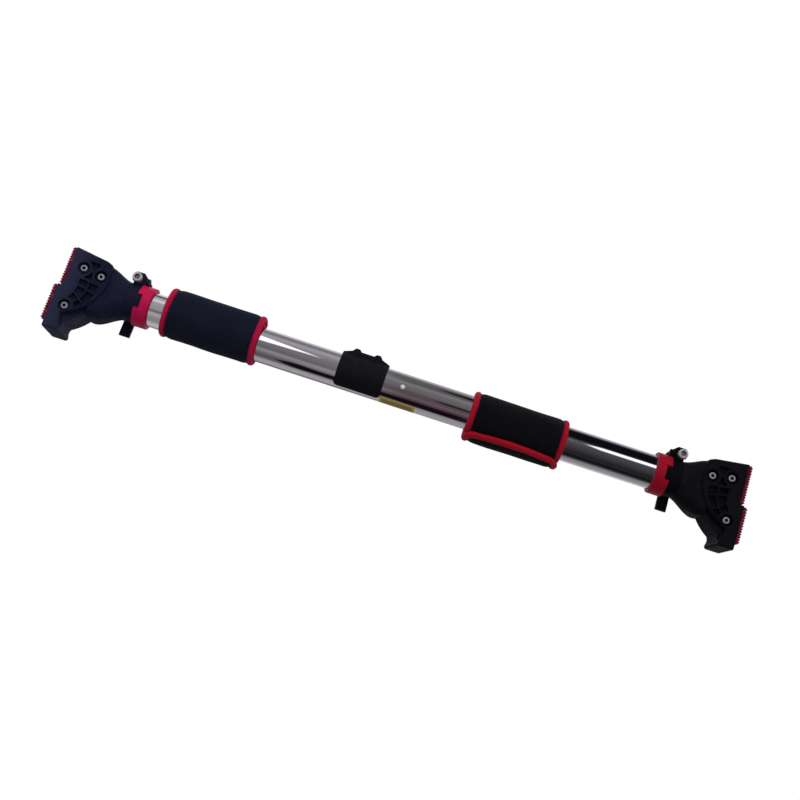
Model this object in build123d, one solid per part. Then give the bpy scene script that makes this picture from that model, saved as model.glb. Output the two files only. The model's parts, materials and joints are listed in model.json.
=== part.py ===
from build123d import *
import os
from math import asin, cos, degrees, radians, sin

# A doorway pull-up bar. The bar runs along X and the origin is the middle of the tube's axis.
# +Z is up, the front faces -Y, and the feet of the two heads point down.

# ---- tube ----
TUBE_D = 38.0            # outside diameter of the steel tube
TUBE_WALL = 1.5
HALF_SPAN = 337.0        # middle of the bar to either end of the tube
SEAM_X = -46.3           # where the two tubes butt, under the saddle
SLEEVE_LEFT = 72.0       # joint sleeve's reach to the left of the seam
SLEEVE_RIGHT = 76.0      # and to the right, past the snap button
SLEEVE_WALL = 2.0

# ---- clearances ----
RUN = 0.08               # radial running fit on the tube
PIN_RUN = 0.05           # radial running fit of pins and threads
SEAT = 0.3               # clearance of soft solids and loose seats
FLUSH = 0.02             # end clearance of a piece let into the shells

# ---- screw extension ----
SCREW_D = 16.0           # lead screw in each head
SCREW_LENGTH = 74.0      # from the socket's end wall towards the middle
SCREW_LEAD_IN = 1.0
SPIGOT_D = 12.0          # the lead screw's end, welded in the socket's end wall
NUT_LENGTH = 20.0        # threaded plug in each end of the tube
NUT_INSET = 2.0          # plug's face to the tube's end

# ---- clamp socket ----
INSERT_DEPTH = 36.0      # how far the tube stands in the socket, fully screwed in
SOCKET_WALL = 1.82
SOCKET_END = 3.0         # end wall
SOCKET_GAP = 0.5         # tube's end to the end wall
TOOTH_ANGLE = 38.0       # the socket's two teeth stand out of its mouth, front and back
SLOT_WIDTH = 6.0         # the split between the ears
SLOT_LENGTH = 30.0
SLOT_EYE = 7.6           # round end of the split
EAR_THICK = 6.0
EAR_TOP = 34.0           # height of the clamp ears over the axis
EAR_FOOT = 12.3          # from the mouth back to the neck
EAR_RIM = 2.6            # ear behind the bolt
EAR_OVERHANG = 4.2       # their nose over the lock ring
EAR_NOSE = 3.4           # height of the nose
EAR_TOP_AT = 3.6         # where the slope up from the nose ends, from the mouth
EAR_CORNER = 2.6
EAR_CLEAR = 0.9          # over the lock ring

# ---- quick-release clamp ----
BOLT_D = 6.0
BOLT_HEAD_D = 10.6
BOLT_HEAD_H = 6.0
BOLT_KEY = 6.0           # hexagon socket, across flats
BOLT_KEY_DEPTH = 3.4
BOLT_OFFSET = 9.2        # bolt's axis from the socket's mouth
BOLT_Z = 27.0
BOLT_END = 1.0           # how far the bolt stands through the barrel nut
CAM_D = 18.0
CAM_THROW = 1.0
BARREL_D = 9.0           # barrel nut that the lever turns on
LEVER_WIDTH = 12.0
CAM_WIDTH = 14.0
LEVER_THICK = 4.0
LEVER_REACH = 60.0       # barrel nut's axis down to the lever's tip
LEVER_BELLY = 25.0       # middle of the lever behind the tube's axis
LEVER_BELLY_Z = 2.0
LEVER_TOE_IN = 2.0       # the tip comes back towards the tube
LEVER_SLOT_RUN = 0.3     # bolt in the cam's slot

# ---- lock ring ----
RING_WALL = 3.9
RING_BODY = 10.0         # length without the teeth
RING_TOOTH = 5.5
RING_EDGE = 1.2          # rounding of its rim
RING_PLAY = 0.5          # between facing teeth, along X and round the axis at the flanks
RING_SEAT = 0.2          # its tips to the socket's mouth

# ---- head housing, offsets along X from the socket's mouth ----
NECK_AT = 12.5           # seam where the plastic begins
NECK_SKIN = 0.25         # neck over the socket
SHOULDER_AT = 24.0       # the cone's two middle sections
BELLY_AT = 35.0
CONE_END = 45.5
CONE_HALF = 22.2         # half width of the cone across Y
SHOULDER_TOP = 24.0
SHOULDER_BOTTOM = 26.6
BELLY_TOP = 28.4
BELLY_BOTTOM = 31.9
PLATE_AT = 32.6          # inner edge of the flat side plates
PLATE_AT_Z = 7.0
PLATE_BOW = (46.5, -23.4)    # middle of their round lower inner edge, from the mouth
PLATE_SHOULDER = (35.0, 27.6)
PLATE_BROW = (42.0, 30.4)
PLATE_CORNER = 3.0
PLATE_RIM = 2.4          # rounding of their rims
UPPER_FACE = 77.8        # end face behind the upper pad
LOWER_STEP = 5.0         # the lower end face stands this much further out
STEP_Z = -9.7
HEAD_HALF = 25.0         # half width of the head across Y
WEB_HALF = 17.0          # half width of the web between belly and foot
WEB_HIP = (45.8, -28.8)  # underside of the web, from the mouth
WEB_BOW = (54.5, -38.9)
HEAD_TOP = 35.5
FOOT_BOTTOM = -58.4
FOOT_INNER = 64.8
FOOT_HEEL = 5.2          # heel's top over to the plates' round edge
FOOT_HEEL_Z = -38.0
WEB_FOOT = 12.2          # web's underside over the foot
WEB_SHANK = 0.7          # web's inner end, inside the foot
WEB_INSET = 2.0          # web's foot above the plates' foot
PAD_THICK = 5.2
PAD_HALF = 24.2
PAD_MARGIN = 1.4         # pad's top edge below the head's
PAD_FOOT_MARGIN = 7.4
PAD_GAP = 2.2            # between the two pads
PAD_CORNER = 2.0
PAD_EDGE = 0.6

# ---- housing screws: (X from the mouth, Z) ----
SCREW_PLACES = [(42.5, 11.4), (63.3, 15.0), (68.2, -30.3)]
HSCREW_D = 4.0
HSCREW_HEAD_D = 7.0
HSCREW_HEAD_H = 4.0
HSCREW_KEY = 3.2
HSCREW_KEY_DEPTH = 2.6
HSCREW_HOLE = 4.4
COUNTERBORE_D = 13.6
COUNTERBORE_H = 4.4
HNUT_AF = 7.0
HNUT_H = 3.2
HNUT_SINK = 1.0          # nut below the rear plate's face
BOSS_D = 19.0

# ---- ribbed pockets in the side plates, from the mouth ----
POCKET_DEPTH = 4.6
RIB = 1.6
WAIST_AT = 53.2          # pocket between the two upper bosses
WAIST_Z = 14.6
WAIST_SIZE = (12.0, 19.5)
WAIST_BRIDGE = 4.2       # bridge that joins the bosses
SWEEP_START = (41.8, 0.5)
SWEEP_BOW = (46.6, -19.0)
SWEEP_TOE = (61.0, -31.0)
SWEEP_HEEL = (69.8, -22.5)
SWEEP_INNER = (63.4, -10.5)
SWEEP_END = (63.6, 3.0)
RIB_BOW = (54.4, -15.0)  # middle of the rib along the pocket
CROSS_RIBS = [(52.0, -7.0, 14.0), (57.5, -18.0, 38.0)]

# ---- core plate ----
CORE_THICK = 4.0
CORE_REACH = 75.5        # out to the flange
CORE_NECK = 16.0         # half height where it is welded to the socket
CORE_TOP = 25.0
CORE_BOTTOM = -48.0
CORE_BEND_AT = 51.5      # corners of its upper and lower edges, from the mouth
CORE_BEND_Z = -20.0
CORE_TOE = 6.0
FLANGE_THICK = 2.0
FLANGE_HALF = 18.0
FLANGE_BOTTOM = -2.0

# ---- saddle ----
SADDLE_LENGTH = 52.4
SADDLE_WALL = 2.6
SADDLE_SHOULDER = 1.2    # end of the crest below the shell's top
SADDLE_BUMP = 11.8       # bumps either side of its middle
SADDLE_BUMP_TOP = 4.2
SADDLE_BUMP_SIDE = 2.6   # run of the bump's steep inner side
SADDLE_RAMP = 9.0        # foot of the bump's outer side, from the saddle's end
SADDLE_RAMP_Z = 23.8
SADDLE_FRONT_LIP = 60.0  # lower edges of its two walls, degrees below the axis
SADDLE_REAR_LIP = 44.0
SADDLE_CREST = 27.6      # top of the bumps
SADDLE_FLAT = 25.0       # top between them
SADDLE_HALF = 8.5        # half width of the crest
SADDLE_CORNER = 5.0

# ---- snap button ----
BUTTON_X = 0.6
BUTTON_D = 5.0
BUTTON_PROUD = 1.6
BUTTON_EDGE = 0.9
BUTTON_FLANGE_D = 8.0
BUTTON_FLANGE_H = 1.6
BUTTON_TRAVEL = 3.0
SPRING_STRIP = 1.0
SPRING_WIDTH = 7.0
SPRING_LENGTH = 46.0

# ---- label ----
LABEL_GAP = 0.2          # label's end to the saddle's
LABEL_LENGTH = 40.0
LABEL_THICK = 0.15
LABEL_ARC = 43.0
LABEL_ANGLE = 55.0       # its upper edge below the front

# ---- grips ----
GRIP_WALL = 4.3          # one layer of the wrap
GRIP_LAP = 7.4           # more where its ends overlap
GRIP_LENGTH = 107.0
LEFT_GRIP_GAP = 15.8     # left grip's outer end to the lock ring
RIGHT_GRIP_GAP = 57.5    # right grip's inner end to the label
PIPING = 7.6
PIPING_PROUD = 0.5
PIPING_EDGE = 1.6

# ---- worked out ----
TUBE_R = TUBE_D / 2
BORE_R = TUBE_R - TUBE_WALL
SLEEVE_R = BORE_R - SLEEVE_WALL
SOCKET_BORE = TUBE_R + RUN
SOCKET_R = SOCKET_BORE + SOCKET_WALL
RING_R = SOCKET_BORE + RING_WALL
MOUTH_X = HALF_SPAN - INSERT_DEPTH
END_WALL_X = HALF_SPAN + SOCKET_GAP
CORE_X = END_WALL_X + SOCKET_END
UPPER_X = MOUTH_X + UPPER_FACE
LOWER_X = UPPER_X + LOWER_STEP
EAR_FACE = SLOT_WIDTH / 2 + EAR_THICK
BARREL_Y = EAR_FACE + CAM_D / 2 + CAM_THROW
BOLT_X = MOUTH_X + BOLT_OFFSET
RING_TIP_X = MOUTH_X - RING_SEAT
NOTCH_X = RING_TIP_X - RING_TOOTH
RING_RIM_X = NOTCH_X - RING_BODY
TOOTH_TIP_X = NOTCH_X + RING_PLAY
SADDLE_START = SEAM_X - SADDLE_LENGTH / 2
SADDLE_END = SEAM_X + SADDLE_LENGTH / 2
LABEL_START = SADDLE_END + LABEL_GAP
LABEL_END = LABEL_START + LABEL_LENGTH
GRIP_BORE = TUBE_R + SEAT
GRIP_R = GRIP_BORE + GRIP_WALL + GRIP_LAP / 2
GRIP_SHIFT = GRIP_LAP / 2
LEFT_GRIP_AT = -RING_RIM_X + LEFT_GRIP_GAP
RIGHT_GRIP_AT = LABEL_END + RIGHT_GRIP_GAP
BUTTON_SEAT = -(SLEEVE_R ** 2 - (BUTTON_FLANGE_D / 2) ** 2) ** 0.5 + SEAT
SIDE = Plane.XZ          # drawings of (x, z); extruding one goes towards -Y


def rod(x0, x1, radius, y=0.0, z=0.0):
    """A cylinder along X."""
    return Plane(origin=(x0, y, z), x_dir=(0, 1, 0), z_dir=(1, 0, 0)) * extrude(Circle(radius), x1 - x0)


def cross_rod(y0, y1, radius, x, z):
    """A cylinder along Y."""
    start = Plane(origin=(x, y0, z), x_dir=(1, 0, 0), z_dir=(0, 1, 0))
    return start * extrude(Circle(radius), y1 - y0)


def tube(x0, x1, outer, inner):
    """A round tube along X."""
    return rod(x0, x1, outer) - rod(x0 - 1, x1 + 1, inner)


def slab(outline, y0, y1):
    """A drawing of (x, z), as a face on the side plane, made solid from y0 to y1."""
    return Pos(0, y0, 0) * extrude(outline, -(y1 - y0))


def side_face(points):
    return SIDE * make_face(Polyline(*points, close=True))


def box(x0, x1, y0, y1, z0, z1):
    size = (x1 - x0, y1 - y0, z1 - z0)
    return Pos((x0 + x1) / 2, (y0 + y1) / 2, (z0 + z1) / 2) * Box(*size)


def wedge(x0, x1, radius, centre, angle):
    """A sector of a disc about X; angles in degrees from +Y towards +Z."""
    half = radians(angle / 2)
    far = radius / cos(half)
    middle = radians(centre)
    corners = [(0, 0)] + [(far * cos(middle + s * half), far * sin(middle + s * half)) for s in (-1, 1)]
    face = make_face(Polyline(*corners, close=True))
    return Plane(origin=(x0, 0, 0), x_dir=(0, 1, 0), z_dir=(1, 0, 0)) * extrude(face, x1 - x0)


# ---------------------------------------------------------------- bar

def bar_tube(x0, x1):
    return tube(x0, x1, TUBE_R, BORE_R)


def button_hole():
    return cross_rod(-TUBE_R - 2, -SLEEVE_R + 2, BUTTON_D / 2 + PIN_RUN, BUTTON_X, 0)


def joint_sleeve():
    body = tube(SEAM_X - SLEEVE_LEFT, SEAM_X + SLEEVE_RIGHT, BORE_R - PIN_RUN, SLEEVE_R)
    return body - button_hole()


def nut_plug():
    """Threaded plug in the right-hand end of the tube."""
    face = HALF_SPAN - NUT_INSET
    return tube(face - NUT_LENGTH, face, BORE_R, SCREW_D / 2 + PIN_RUN)


def snap_button():
    stem = cross_rod(-TUBE_R - BUTTON_PROUD, BUTTON_SEAT, BUTTON_D / 2, BUTTON_X, 0)
    stem = chamfer(stem.edges().sort_by(Axis.Y)[0], BUTTON_EDGE)
    return stem + cross_rod(BUTTON_SEAT, BUTTON_SEAT + BUTTON_FLANGE_H, BUTTON_FLANGE_D / 2, BUTTON_X, 0)


def button_spring():
    """V-shaped strip spring: one leg carries the button, the other leans on the sleeve's far wall."""
    front = BUTTON_SEAT + BUTTON_FLANGE_H + SPRING_STRIP / 2
    far_wall = (SLEEVE_R ** 2 - (SPRING_WIDTH / 2) ** 2) ** 0.5
    back = far_wall - SEAT - BUTTON_TRAVEL - SPRING_STRIP / 2
    foot = BUTTON_FLANGE_D / 2
    path = Polyline((foot, front), (-foot, front), (-SPRING_LENGTH, 0), (-foot, back))
    flat = trace(path, SPRING_STRIP)
    return Pos(BUTTON_X, 0, -SPRING_WIDTH / 2) * extrude(flat, SPRING_WIDTH)


def label():
    skin = tube(LABEL_START, LABEL_END, TUBE_R + LABEL_THICK, TUBE_R)
    centre = 180 + LABEL_ANGLE + LABEL_ARC / 2
    return skin & wedge(LABEL_START, LABEL_END, TUBE_R + 2, centre, LABEL_ARC)


def saddle():
    """Moulded clip on the tube, with two bumps on its crest and an opening underneath."""
    inner = TUBE_R + RUN
    outer = inner + SADDLE_WALL
    bump = SEAM_X - SADDLE_BUMP
    half = SADDLE_BUMP_TOP / 2
    crest = [(SADDLE_START, 0), (SADDLE_START, outer - SADDLE_SHOULDER),
             (SADDLE_START + SADDLE_RAMP, SADDLE_RAMP_Z), (bump - half, SADDLE_CREST),
             (bump + half, SADDLE_CREST), (bump + half + SADDLE_BUMP_SIDE, SADDLE_FLAT)]
    other_half = [(2 * SEAM_X - x, z) for x, z in reversed(crest)]
    ridge = slab(side_face(crest + other_half), -SADDLE_HALF, SADDLE_HALF)
    body = rod(SADDLE_START, SADDLE_END, outer) + ridge
    body -= rod(SADDLE_START - 1, SADDLE_END + 1, inner)
    opening = 180 - SADDLE_FRONT_LIP - SADDLE_REAR_LIP
    middle = -SADDLE_REAR_LIP - opening / 2
    body -= wedge(SADDLE_START - 1, SADDLE_END + 1, outer + 2, middle, opening)
    corners = body.edges().filter_by(lambda e: e.center().Z < 0 and abs(e.length - SADDLE_WALL) < SADDLE_WALL / 4)
    return fillet(corners, SADDLE_CORNER)


def grip(x0, side):
    """Foam wrap between its two rolls of piping; side is +1 where its ends overlap on top."""
    start, end = x0 + PIPING, x0 + GRIP_LENGTH - PIPING
    return rod(start, end, GRIP_R, 0, side * GRIP_SHIFT) - rod(start - 1, end + 1, GRIP_BORE)


def grip_piping(x0, side):
    """The rolled edge at each end of a grip."""
    rolls = []
    for start in (x0, x0 + GRIP_LENGTH - PIPING):
        roll = rod(start, start + PIPING, GRIP_R + PIPING_PROUD, 0, side * GRIP_SHIFT)
        roll = chamfer(roll.edges(), PIPING_EDGE)
        rolls.append(roll - rod(start - 1, start + PIPING + 1, GRIP_BORE))
    return rolls


# ---------------------------------------------------------------- clamp

def ear_outline():
    nose = RING_R + EAR_CLEAR
    root = SOCKET_BORE - 1
    end = BOLT_X + BOLT_D / 2 + EAR_RIM
    return side_face([
        (MOUTH_X, root), (MOUTH_X, nose), (MOUTH_X - EAR_OVERHANG, nose),
        (MOUTH_X - EAR_OVERHANG, nose + EAR_NOSE), (MOUTH_X + EAR_TOP_AT, EAR_TOP),
        (end - EAR_CORNER, EAR_TOP), (end, EAR_TOP - EAR_CORNER), (end, nose),
        (MOUTH_X + EAR_FOOT, nose), (MOUTH_X + EAR_FOOT, root)])


def socket():
    """Steel clamp socket of the right head: split collar, two ears, two teeth and an end wall."""
    teeth = rod(TOOTH_TIP_X, MOUTH_X, SOCKET_R)
    keep = wedge(TOOTH_TIP_X, MOUTH_X, SOCKET_R + 2, 0, TOOTH_ANGLE)
    keep += wedge(TOOTH_TIP_X, MOUTH_X, SOCKET_R + 2, 180, TOOTH_ANGLE)
    body = rod(MOUTH_X, CORE_X, SOCKET_R) + (teeth & keep)
    body += slab(ear_outline(), -EAR_FACE, EAR_FACE)
    body -= rod(TOOTH_TIP_X - 1, END_WALL_X, SOCKET_BORE)
    body -= rod(END_WALL_X - 1, CORE_X + 1, SPIGOT_D / 2)
    slot_end = MOUTH_X + SLOT_LENGTH
    half = SLOT_WIDTH / 2
    body -= box(MOUTH_X - EAR_OVERHANG - 1, slot_end, -half, half, 0, EAR_TOP + 1)
    body -= Pos(slot_end, 0, SOCKET_R / 2 + 1) * Cylinder(SLOT_EYE / 2, SOCKET_R + 2)
    body -= cross_rod(-EAR_FACE - 1, EAR_FACE + 1, BOLT_D / 2 + 2 * PIN_RUN, BOLT_X, BOLT_Z)
    return body


def lead_screw():
    thread = rod(END_WALL_X - SCREW_LENGTH, END_WALL_X, SCREW_D / 2)
    thread = chamfer(thread.edges().sort_by(Axis.X)[0], SCREW_LEAD_IN)
    return thread + rod(END_WALL_X, CORE_X, SPIGOT_D / 2)


def clamp_bolt():
    front = -EAR_FACE
    shank = cross_rod(front, BARREL_Y + BARREL_D / 2 + BOLT_END, BOLT_D / 2, BOLT_X, BOLT_Z)
    head = cross_rod(front - BOLT_HEAD_H, front, BOLT_HEAD_D / 2, BOLT_X, BOLT_Z)
    head = chamfer(head.edges().sort_by(Axis.Y)[0], BOLT_HEAD_D / 14)
    key_end = front - BOLT_HEAD_H + BOLT_KEY_DEPTH
    return shank + head - hex_prism(front - BOLT_HEAD_H - 1, key_end, BOLT_KEY, BOLT_X, BOLT_Z)


def barrel_nut():
    x0 = BOLT_X - CAM_WIDTH / 2
    nut = rod(x0, x0 + CAM_WIDTH, BARREL_D / 2, BARREL_Y, BOLT_Z)
    return nut - cross_rod(BARREL_Y - BARREL_D, BARREL_Y + BARREL_D, BOLT_D / 2, BOLT_X, BOLT_Z)


def cam_lever():
    """Cam with two cheeks round the barrel nut, and a bowed lever hanging behind the socket."""
    cam = rod(BOLT_X - CAM_WIDTH / 2, BOLT_X + CAM_WIDTH / 2, CAM_D / 2, BARREL_Y - CAM_THROW, BOLT_Z)
    root = (BARREL_Y + CAM_D / 2 - LEVER_THICK, BOLT_Z - LEVER_THICK / 2)
    tip = (LEVER_BELLY - LEVER_TOE_IN, BOLT_Z - LEVER_REACH)
    bow = ThreePointArc(root, (LEVER_BELLY, LEVER_BELLY_Z), tip)
    across = Plane(origin=(BOLT_X - LEVER_WIDTH / 2, 0, 0), x_dir=(0, 1, 0), z_dir=(1, 0, 0))
    body = cam + across * extrude(trace(bow, LEVER_THICK), LEVER_WIDTH)
    slot = BOLT_D / 2 + LEVER_SLOT_RUN
    body -= rod(BOLT_X - slot, BOLT_X + slot, CAM_D / 2 + 2 * CAM_THROW, BARREL_Y, BOLT_Z)
    body -= rod(BOLT_X - CAM_WIDTH, BOLT_X + CAM_WIDTH, BARREL_D / 2 + PIN_RUN, BARREL_Y, BOLT_Z)
    return body


def lock_ring():
    """Nylon ring with two teeth between the socket's teeth and a rounded rim to pull it back by."""
    ring = rod(RING_RIM_X, NOTCH_X, RING_R)
    ring = fillet(ring.edges().sort_by(Axis.X)[0], RING_EDGE)
    teeth = rod(NOTCH_X, RING_TIP_X, RING_R)
    play = degrees(asin(RING_PLAY / SOCKET_R))
    for side in (0, 180):
        teeth -= wedge(NOTCH_X, RING_TIP_X, RING_R + 3, side, TOOTH_ANGLE + 2 * play)
    return ring + teeth - rod(RING_RIM_X - 1, RING_TIP_X + 1, SOCKET_BORE)


# ---------------------------------------------------------------- head

def cone():
    """The rounded body between the neck and the flat side plates."""
    neck = SOCKET_R + NECK_SKIN
    sections = [(NECK_AT, neck, neck, neck, neck - FLUSH),
                (SHOULDER_AT, (neck + CONE_HALF) / 2, SHOULDER_TOP, SHOULDER_BOTTOM, neck * 0.85),
                (BELLY_AT, CONE_HALF, BELLY_TOP, BELLY_BOTTOM, neck * 0.7),
                (CONE_END, CONE_HALF, BELLY_TOP, BELLY_BOTTOM, neck * 0.5)]
    faces = []
    for at, half, top, bottom, corner in sections:
        plane = Plane(origin=(MOUTH_X + at, 0, (top - bottom) / 2), x_dir=(0, 1, 0), z_dir=(1, 0, 0))
        faces.append(plane * RectangleRounded(2 * half, top + bottom, corner))
    return loft(faces)


def plate_outline():
    """Flat side plate: a block with a stepped outer end and a round lower inner edge."""
    heel = (FOOT_INNER + FOOT_HEEL, FOOT_HEEL_Z)
    inner = (PLATE_AT, PLATE_AT_Z)
    lower = UPPER_FACE + LOWER_STEP
    corners = [inner, PLATE_SHOULDER, PLATE_BROW, (UPPER_FACE, HEAD_TOP), (UPPER_FACE, STEP_Z),
               (lower, STEP_Z), (lower, FOOT_BOTTOM), (FOOT_INNER, FOOT_BOTTOM), heel]
    face = make_face([Polyline(*corners), ThreePointArc(heel, PLATE_BOW, inner)])
    face = Pos(MOUTH_X, 0, 0) * (SIDE * face)
    return fillet([v for v in face.vertices() if v.X < UPPER_X - PLATE_CORNER], PLATE_CORNER)


def web_outline():
    ankle = (FOOT_INNER - WEB_SHANK, FOOT_BOTTOM + WEB_FOOT)
    sole = FOOT_BOTTOM + WEB_INSET
    corners = [ankle, (FOOT_INNER + WEB_INSET, sole), (UPPER_FACE, sole), (UPPER_FACE, 0),
               (BELLY_AT, 0), (BELLY_AT, WEB_HIP[1] + WEB_INSET), WEB_HIP]
    face = make_face([Polyline(*corners), ThreePointArc(WEB_HIP, WEB_BOW, ankle)])
    return Pos(MOUTH_X, 0, 0) * (SIDE * face)


def rib_pockets():
    """Pockets between the screw bosses and down to the foot, left open between their ribs."""
    bosses = Sketch() + [Pos(x, z) * Circle(BOSS_D / 2) for x, z in SCREW_PLACES]
    waist = Pos(WAIST_AT, WAIST_Z) * (Rectangle(*WAIST_SIZE) - Rectangle(WAIST_SIZE[0], WAIST_BRIDGE))
    sweep = make_face([ThreePointArc(SWEEP_START, SWEEP_BOW, SWEEP_TOE), Line(SWEEP_TOE, SWEEP_HEEL),
                       ThreePointArc(SWEEP_HEEL, SWEEP_INNER, SWEEP_END), Line(SWEEP_END, SWEEP_START)])
    toe = ((SWEEP_TOE[0] + SWEEP_HEEL[0]) / 2, (SWEEP_TOE[1] + SWEEP_HEEL[1]) / 2)
    head = ((SWEEP_START[0] + SWEEP_END[0]) / 2, (SWEEP_START[1] + SWEEP_END[1]) / 2)
    ribs = Sketch() + [Pos(x, z) * Rot(0, 0, turn) * Rectangle(BOSS_D * 2, RIB) for x, z, turn in CROSS_RIBS]
    ribs += trace(ThreePointArc(head, RIB_BOW, toe), RIB)
    return SIDE * (Pos(MOUTH_X, 0) * (waist + (sweep - ribs) - bosses))


def housing():
    """Both shells as one block, before it is hollowed and split."""
    plate = slab(plate_outline(), -HEAD_HALF, HEAD_HALF)
    sides = plate.faces().filter_by(Axis.Y).edges()
    rims = [e for e in sides if e.center().X < UPPER_X - 1 or e.center().Z < FOOT_BOTTOM + 1]
    plate = fillet(rims, PLATE_RIM)
    block = plate + slab(web_outline(), -WEB_HALF, WEB_HALF) + cone()
    pockets = rib_pockets()
    block -= slab(pockets, -HEAD_HALF - 1, -HEAD_HALF + POCKET_DEPTH)
    block -= slab(pockets, HEAD_HALF - POCKET_DEPTH, HEAD_HALF + 1)
    for x, z in SCREW_PLACES:
        at = MOUTH_X + x
        block -= cross_rod(-HEAD_HALF - 1, HEAD_HALF + 1, HSCREW_HOLE / 2, at, z)
        block -= cross_rod(-HEAD_HALF - 1, -HEAD_HALF + COUNTERBORE_H, COUNTERBORE_D / 2, at, z)
        block -= hex_prism(HEAD_HALF - HNUT_H - HNUT_SINK, HEAD_HALF + 1, HNUT_AF + 2 * PIN_RUN, at, z)
    block -= rod(MOUTH_X, CORE_X + FLUSH, SOCKET_R + PIN_RUN)
    block -= core_plate()
    return block


def hex_prism(y0, y1, across, x, z):
    start = Plane(origin=(x, y0, z), x_dir=(1, 0, 0), z_dir=(0, 1, 0))
    return start * extrude(RegularPolygon(across / 2, 6, major_radius=False), y1 - y0)


def core_plate():
    """Steel web with a flange, welded to the socket's end wall."""
    x = MOUTH_X
    flange_x = x + CORE_REACH
    end = x + UPPER_FACE
    web = side_face([(CORE_X, -CORE_NECK), (CORE_X, CORE_NECK), (x + CORE_BEND_AT, CORE_TOP),
                     (flange_x, CORE_TOP), (flange_x, STEP_Z), (end, STEP_Z - SEAT), (end, CORE_BOTTOM),
                     (end - CORE_TOE, CORE_BOTTOM), (x + CORE_BEND_AT, CORE_BEND_Z)])
    body = slab(web, -CORE_THICK / 2, CORE_THICK / 2)
    body += box(flange_x - FLANGE_THICK, flange_x, -FLANGE_HALF, FLANGE_HALF, FLANGE_BOTTOM, CORE_TOP)
    for px, pz in SCREW_PLACES:
        body -= cross_rod(-HEAD_HALF, HEAD_HALF, HSCREW_HOLE / 2, x + px, pz)
    return body


def housing_screws():
    screws = []
    seat = -HEAD_HALF + COUNTERBORE_H
    top = seat - HSCREW_HEAD_H
    for x, z in SCREW_PLACES:
        at = MOUTH_X + x
        shank = cross_rod(seat, HEAD_HALF - HNUT_SINK - PIN_RUN, HSCREW_D / 2, at, z)
        head = cross_rod(top, seat, HSCREW_HEAD_D / 2, at, z)
        head = chamfer(head.edges().sort_by(Axis.Y)[0], HSCREW_HEAD_D / 16)
        screws.append(shank + head - hex_prism(top - 1, top + HSCREW_KEY_DEPTH, HSCREW_KEY, at, z))
    return screws


def housing_nuts():
    nuts = []
    start = HEAD_HALF - HNUT_H - HNUT_SINK
    for x, z in SCREW_PLACES:
        nut = hex_prism(start, start + HNUT_H, HNUT_AF, MOUTH_X + x, z)
        nuts.append(nut - cross_rod(start - 1, HEAD_HALF, HSCREW_D / 2, MOUTH_X + x, z))
    return nuts


def pad(x, z0, z1):
    body = box(x, x + PAD_THICK, -PAD_HALF, PAD_HALF, z0, z1)
    body = fillet(body.edges().filter_by(Axis.X), PAD_CORNER)
    return chamfer(body.faces().sort_by(Axis.X)[-1].edges(), PAD_EDGE)


def right_head():
    """The right head's pieces by name."""
    block = housing()
    far = LOWER_X + HEAD_HALF
    return {
        "front_shell": block & box(0, far, -far, 0, -far, far),
        "rear_shell": block & box(0, far, 0, far, -far, far),
        "socket": socket(),
        "core_plate": core_plate(),
        "lead_screw": lead_screw(),
        "housing_screws": housing_screws(),
        "housing_nuts": housing_nuts(),
        "upper_pad": pad(UPPER_X, STEP_Z + PAD_GAP / 2, HEAD_TOP - PAD_MARGIN),
        "lower_pad": pad(LOWER_X, FOOT_BOTTOM + PAD_FOOT_MARGIN, STEP_Z - PAD_GAP / 2),
        "clamp_bolt": clamp_bolt(),
        "barrel_nut": barrel_nut(),
        "cam_lever": cam_lever(),
        "lock_ring": lock_ring(),
    }


def solids_of(shape):
    if isinstance(shape, (list, tuple)):
        return [solid for item in shape for solid in solids_of(item)]
    return list(shape.solids())


def mirrored(shape):
    return [mirror(solid, about=Plane.YZ) for solid in solids_of(shape)]


def all_pieces():
    pieces = {
        "left_tube": bar_tube(-HALF_SPAN, SEAM_X),
        "right_tube": bar_tube(SEAM_X, HALF_SPAN) - button_hole(),
        "joint_sleeve": joint_sleeve(),
        "right_nut_plug": nut_plug(),
        "left_nut_plug": mirrored(nut_plug()),
        "snap_button": snap_button(),
        "button_spring": button_spring(),
        "label": label(),
        "saddle": saddle(),
        "left_grip": grip(LEFT_GRIP_AT, 1),
        "left_grip_piping": grip_piping(LEFT_GRIP_AT, 1),
        "right_grip": grip(RIGHT_GRIP_AT, -1),
        "right_grip_piping": grip_piping(RIGHT_GRIP_AT, -1),
    }
    for name, shape in right_head().items():
        pieces["right_" + name] = shape
        pieces["left_" + name] = mirrored(shape)
    return pieces


def main():
    os.makedirs("parts", exist_ok=True)
    for name, shape in all_pieces().items():
        solids = solids_of(shape)
        export_step(solids[0] if len(solids) == 1 else Compound(solids), f"parts/{name}.step")
        print(name, len(solids), "solid(s)")


main()
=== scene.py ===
import bpy
import bmesh
import json
from math import cos, degrees, pi, radians, sin, sqrt
from mathutils import Matrix, Vector, noise


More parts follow.
